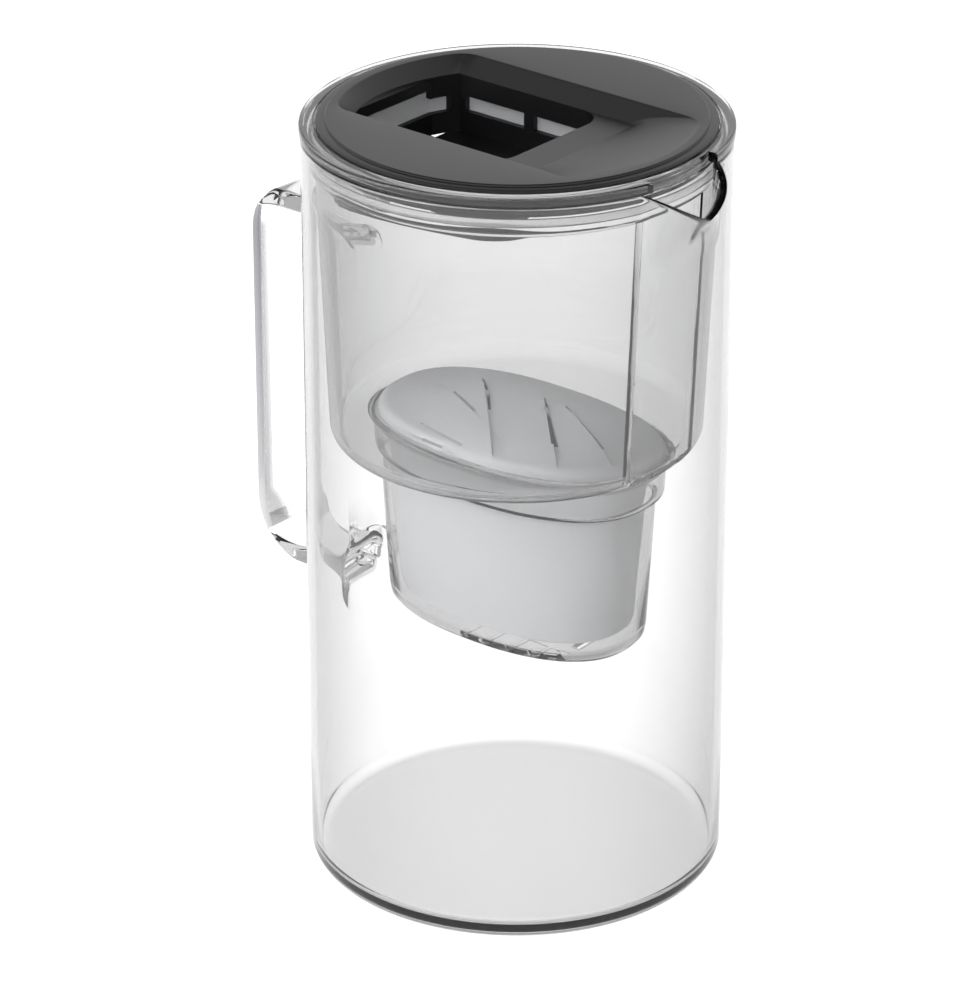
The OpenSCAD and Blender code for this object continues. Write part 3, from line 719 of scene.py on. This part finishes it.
def inner_shade(tree, rays, level):
    """Dims the room to level for rays that one or two reflections in clear material turned, and behind four walls."""
    turned = add_node(tree, "ShaderNodeMath", {1: 1.5, 2: 1.0}, {0: rays["Glossy Depth"]}, operation="COMPARE")
    inside = add_node(tree, "ShaderNodeMath", (), {0: turned.outputs[0], 1: rays["Is Transmission Ray"]},
                      operation="MULTIPLY")
    edge = add_node(tree, "ShaderNodeMapRange", {"To Min": 1.0, "To Max": level}, {"Value": inside.outputs[0]})
    walls = add_node(tree, "ShaderNodeMapRange", {"From Min": 4.5, "From Max": 7.5, "To Min": 1.0, "To Max": 0.62},
                     {"Value": rays["Transmission Depth"]})
    return add_node(tree, "ShaderNodeMath", (), {0: edge.outputs["Result"], 1: walls.outputs["Result"]},
                    operation="MULTIPLY").outputs[0]


def brightness(name, default, description):
    """Setting for a brightness, 1 being white."""
    return bpy.props.FloatProperty(name=name, description=description, default=default, min=0)


class StageSettings(bpy.types.PropertyGroup):
    edges: brightness("Edges", 0.42, "Brightness that rays reflected inside clear walls see")
    ceiling: brightness("Ceiling", 0.03, "Brightness of the dark ceiling that gloss mirrors")
    key: brightness("Key", 6.0, "Extra light on matte surfaces from the front left")
    fill: brightness("Fill", 0.25, "Extra light on matte surfaces from behind")
    glow: brightness("Glow", 0.9, "Brightness of the floor where it is seen, without the light that falls on it")
    wide: length("Floor", 6000, "Width of the floor")


class PITCHER_OT_stage(bpy.types.Operator):
    """Makes the pale floor, the soft light and the camera at the photograph's view"""
    bl_idname = "pitcher.stage"
    bl_label = "Stage"

    def execute(self, context):
        scene = context.scene
        settings = scene.pitcher_stage
        bm = bmesh.new()
        bmesh.ops.create_grid(bm, x_segments=1, y_segments=1, size=settings.wide / MM / 2)
        bmesh.ops.translate(bm, vec=(0, 0, -0.25), verts=bm.verts)
        floor = new_object("floor", bm, outward=False)
        # Matte white paper: white where it is seen, plain and pale where it lights the object
        material, tree = new_tree("paper_matte_white")
        rays = add_node(tree, "ShaderNodeLightPath").outputs
        direct = add_node(tree, "ShaderNodeMath", (), {0: rays["Is Camera Ray"], 1: rays["Is Glossy Ray"]},
                          operation="ADD")
        seen = add_node(tree, "ShaderNodeMath", (), {0: direct.outputs[0], 1: rays["Is Transmission Ray"]},
                        operation="ADD", use_clamp=True)
        dim = add_node(tree, "ShaderNodeMath", {1: settings.glow}, {0: inner_shade(tree, rays, settings.edges)},
                       operation="MULTIPLY")
        glow = add_node(tree, "ShaderNodeEmission", {"Color": (1, 1, 1, 1)}, {"Strength": dim.outputs[0]})
        thin = add_node(tree, "ShaderNodeBsdfDiffuse", {"Color": (0.18, 0.18, 0.18, 1)})
        both = add_node(tree, "ShaderNodeAddShader", (), {0: glow.outputs[0], 1: thin.outputs[0]})
        plain = add_node(tree, "ShaderNodeBsdfDiffuse", {"Color": (0.8, 0.8, 0.8, 1)})
        mixed = add_node(tree, "ShaderNodeMixShader", (),
                         {0: seen.outputs[0], 1: plain.outputs[0], 2: both.outputs[0]})
        add_node(tree, "ShaderNodeOutputMaterial", (), {"Surface": mixed.outputs[0]})
        floor.data.materials.append(material)

        world = bpy.data.worlds.new("soft_room")
        scene.world = world
        world.use_nodes = True
        tree = world.node_tree
        tree.nodes.clear()
        way = add_node(tree, "ShaderNodeTexCoord").outputs["Generated"]
        height = add_node(tree, "ShaderNodeSeparateXYZ", (), {0: way}).outputs["Z"]
        rays = add_node(tree, "ShaderNodeLightPath").outputs

        def ceiling(start, full, level):
            """White room whose ceiling darkens between two elevations in degrees."""
            limits = {"From Min": math.sin(math.radians(start)), "From Max": math.sin(math.radians(full)),
                      "To Min": 1.0, "To Max": level}
            return add_node(tree, "ShaderNodeMapRange", limits, {"Value": height},
                            interpolation_type="SMOOTHSTEP").outputs["Result"]

        mirrored = ceiling(35, 55, settings.ceiling)
        dimmed = inner_shade(tree, rays, settings.edges)
        through = add_node(tree, "ShaderNodeMath", (), {0: ceiling(62, 76, 0.5), 1: dimmed}, operation="MULTIPLY")
        room = add_node(tree, "ShaderNodeMix", (),
                        {0: rays["Is Transmission Ray"], 2: mirrored, 3: through.outputs[0]})
        # Matte surfaces get a broad key from the front left, which glass and gloss don't mirror
        facing = add_node(tree, "ShaderNodeVectorMath", {1: (-0.45, -0.82, 0.35)}, {0: way},
                          operation="DOT_PRODUCT")
        key = add_node(tree, "ShaderNodeMapRange", {"From Min": -0.1, "From Max": 1.0, "To Min": settings.fill,
                                                    "To Max": settings.key}, {"Value": facing.outputs["Value"]})
        lit = add_node(tree, "ShaderNodeMath", {1: 0.5}, {0: rays["Diffuse Depth"]}, operation="GREATER_THAN")
        gain = add_node(tree, "ShaderNodeMath", (), {0: lit.outputs[0], 1: key.outputs["Result"]},
                        operation="MULTIPLY")
        shade = add_node(tree, "ShaderNodeMath", (), {0: room.outputs[0], 1: gain.outputs[0]}, operation="ADD")
        strength = add_node(tree, "ShaderNodeMath", (), {0: rays["Is Camera Ray"], 1: shade.outputs[0]},
                            operation="MAXIMUM")
        sky = add_node(tree, "ShaderNodeBackground", {"Color": (1, 1, 1, 1)}, {"Strength": strength.outputs[0]})
        add_node(tree, "ShaderNodeOutputWorld", (), {"Surface": sky.outputs[0]})

        data = bpy.data.cameras.new("camera")
        data.lens, data.sensor_width = 181.7, 36
        data.clip_start, data.clip_end = 0.05, 30
        camera = bpy.data.objects.new("camera", data)
        scene.collection.objects.link(camera)
        camera.location = (0.9196, -1.1170, 0.8115)
        aim = Vector((-0.00655, -0.00545, 0.1283)) - camera.location
        camera.rotation_euler = aim.to_track_quat("-Z", "Y").to_euler()
        scene.camera = camera
        scene.view_settings.view_transform = "Standard"
        scene.cycles.max_bounces = 64
        scene.cycles.transmission_bounces = 64
        return {"FINISHED"}


SETTINGS = {"pitcher_glass": GlassSettings, "pitcher_hopper": HopperSettings, "pitcher_cartridge": CartridgeSettings,
            "pitcher_lid": LidSettings, "pitcher_stage": StageSettings}
STEPS = [PITCHER_OT_glass, PITCHER_OT_hopper, PITCHER_OT_socket, PITCHER_OT_seals, PITCHER_OT_cartridge,
         PITCHER_OT_lid, PITCHER_OT_stage]


class PITCHER_PT_panel(bpy.types.Panel):
    """Lists the pitcher's settings and steps"""
    bl_idname = "PITCHER_PT_panel"
    bl_label = "Filter Pitcher"
    bl_space_type = "VIEW_3D"
    bl_region_type = "UI"
    bl_category = "Pitcher"

    def draw(self, context):
        for name, group in SETTINGS.items():
            column = self.layout.column(align=True)
            for key in group.__annotations__:
                column.prop(getattr(context.scene, name), key)
        for step in STEPS:
            self.layout.operator(step.bl_idname)


def register():
    for item in [*SETTINGS.values(), *STEPS, PITCHER_PT_panel]:
        bpy.utils.register_class(item)
    for name, group in SETTINGS.items():
        setattr(bpy.types.Scene, name, bpy.props.PointerProperty(type=group))


def unregister():
    for name in SETTINGS:
        delattr(bpy.types.Scene, name)
    for item in reversed([*SETTINGS.values(), *STEPS, PITCHER_PT_panel]):
        bpy.utils.unregister_class(item)


def main():
    register()
    for step in STEPS:
        group, name = step.bl_idname.split(".")
        getattr(getattr(bpy.ops, group), name)()


if __name__ == "__main__":
    main()
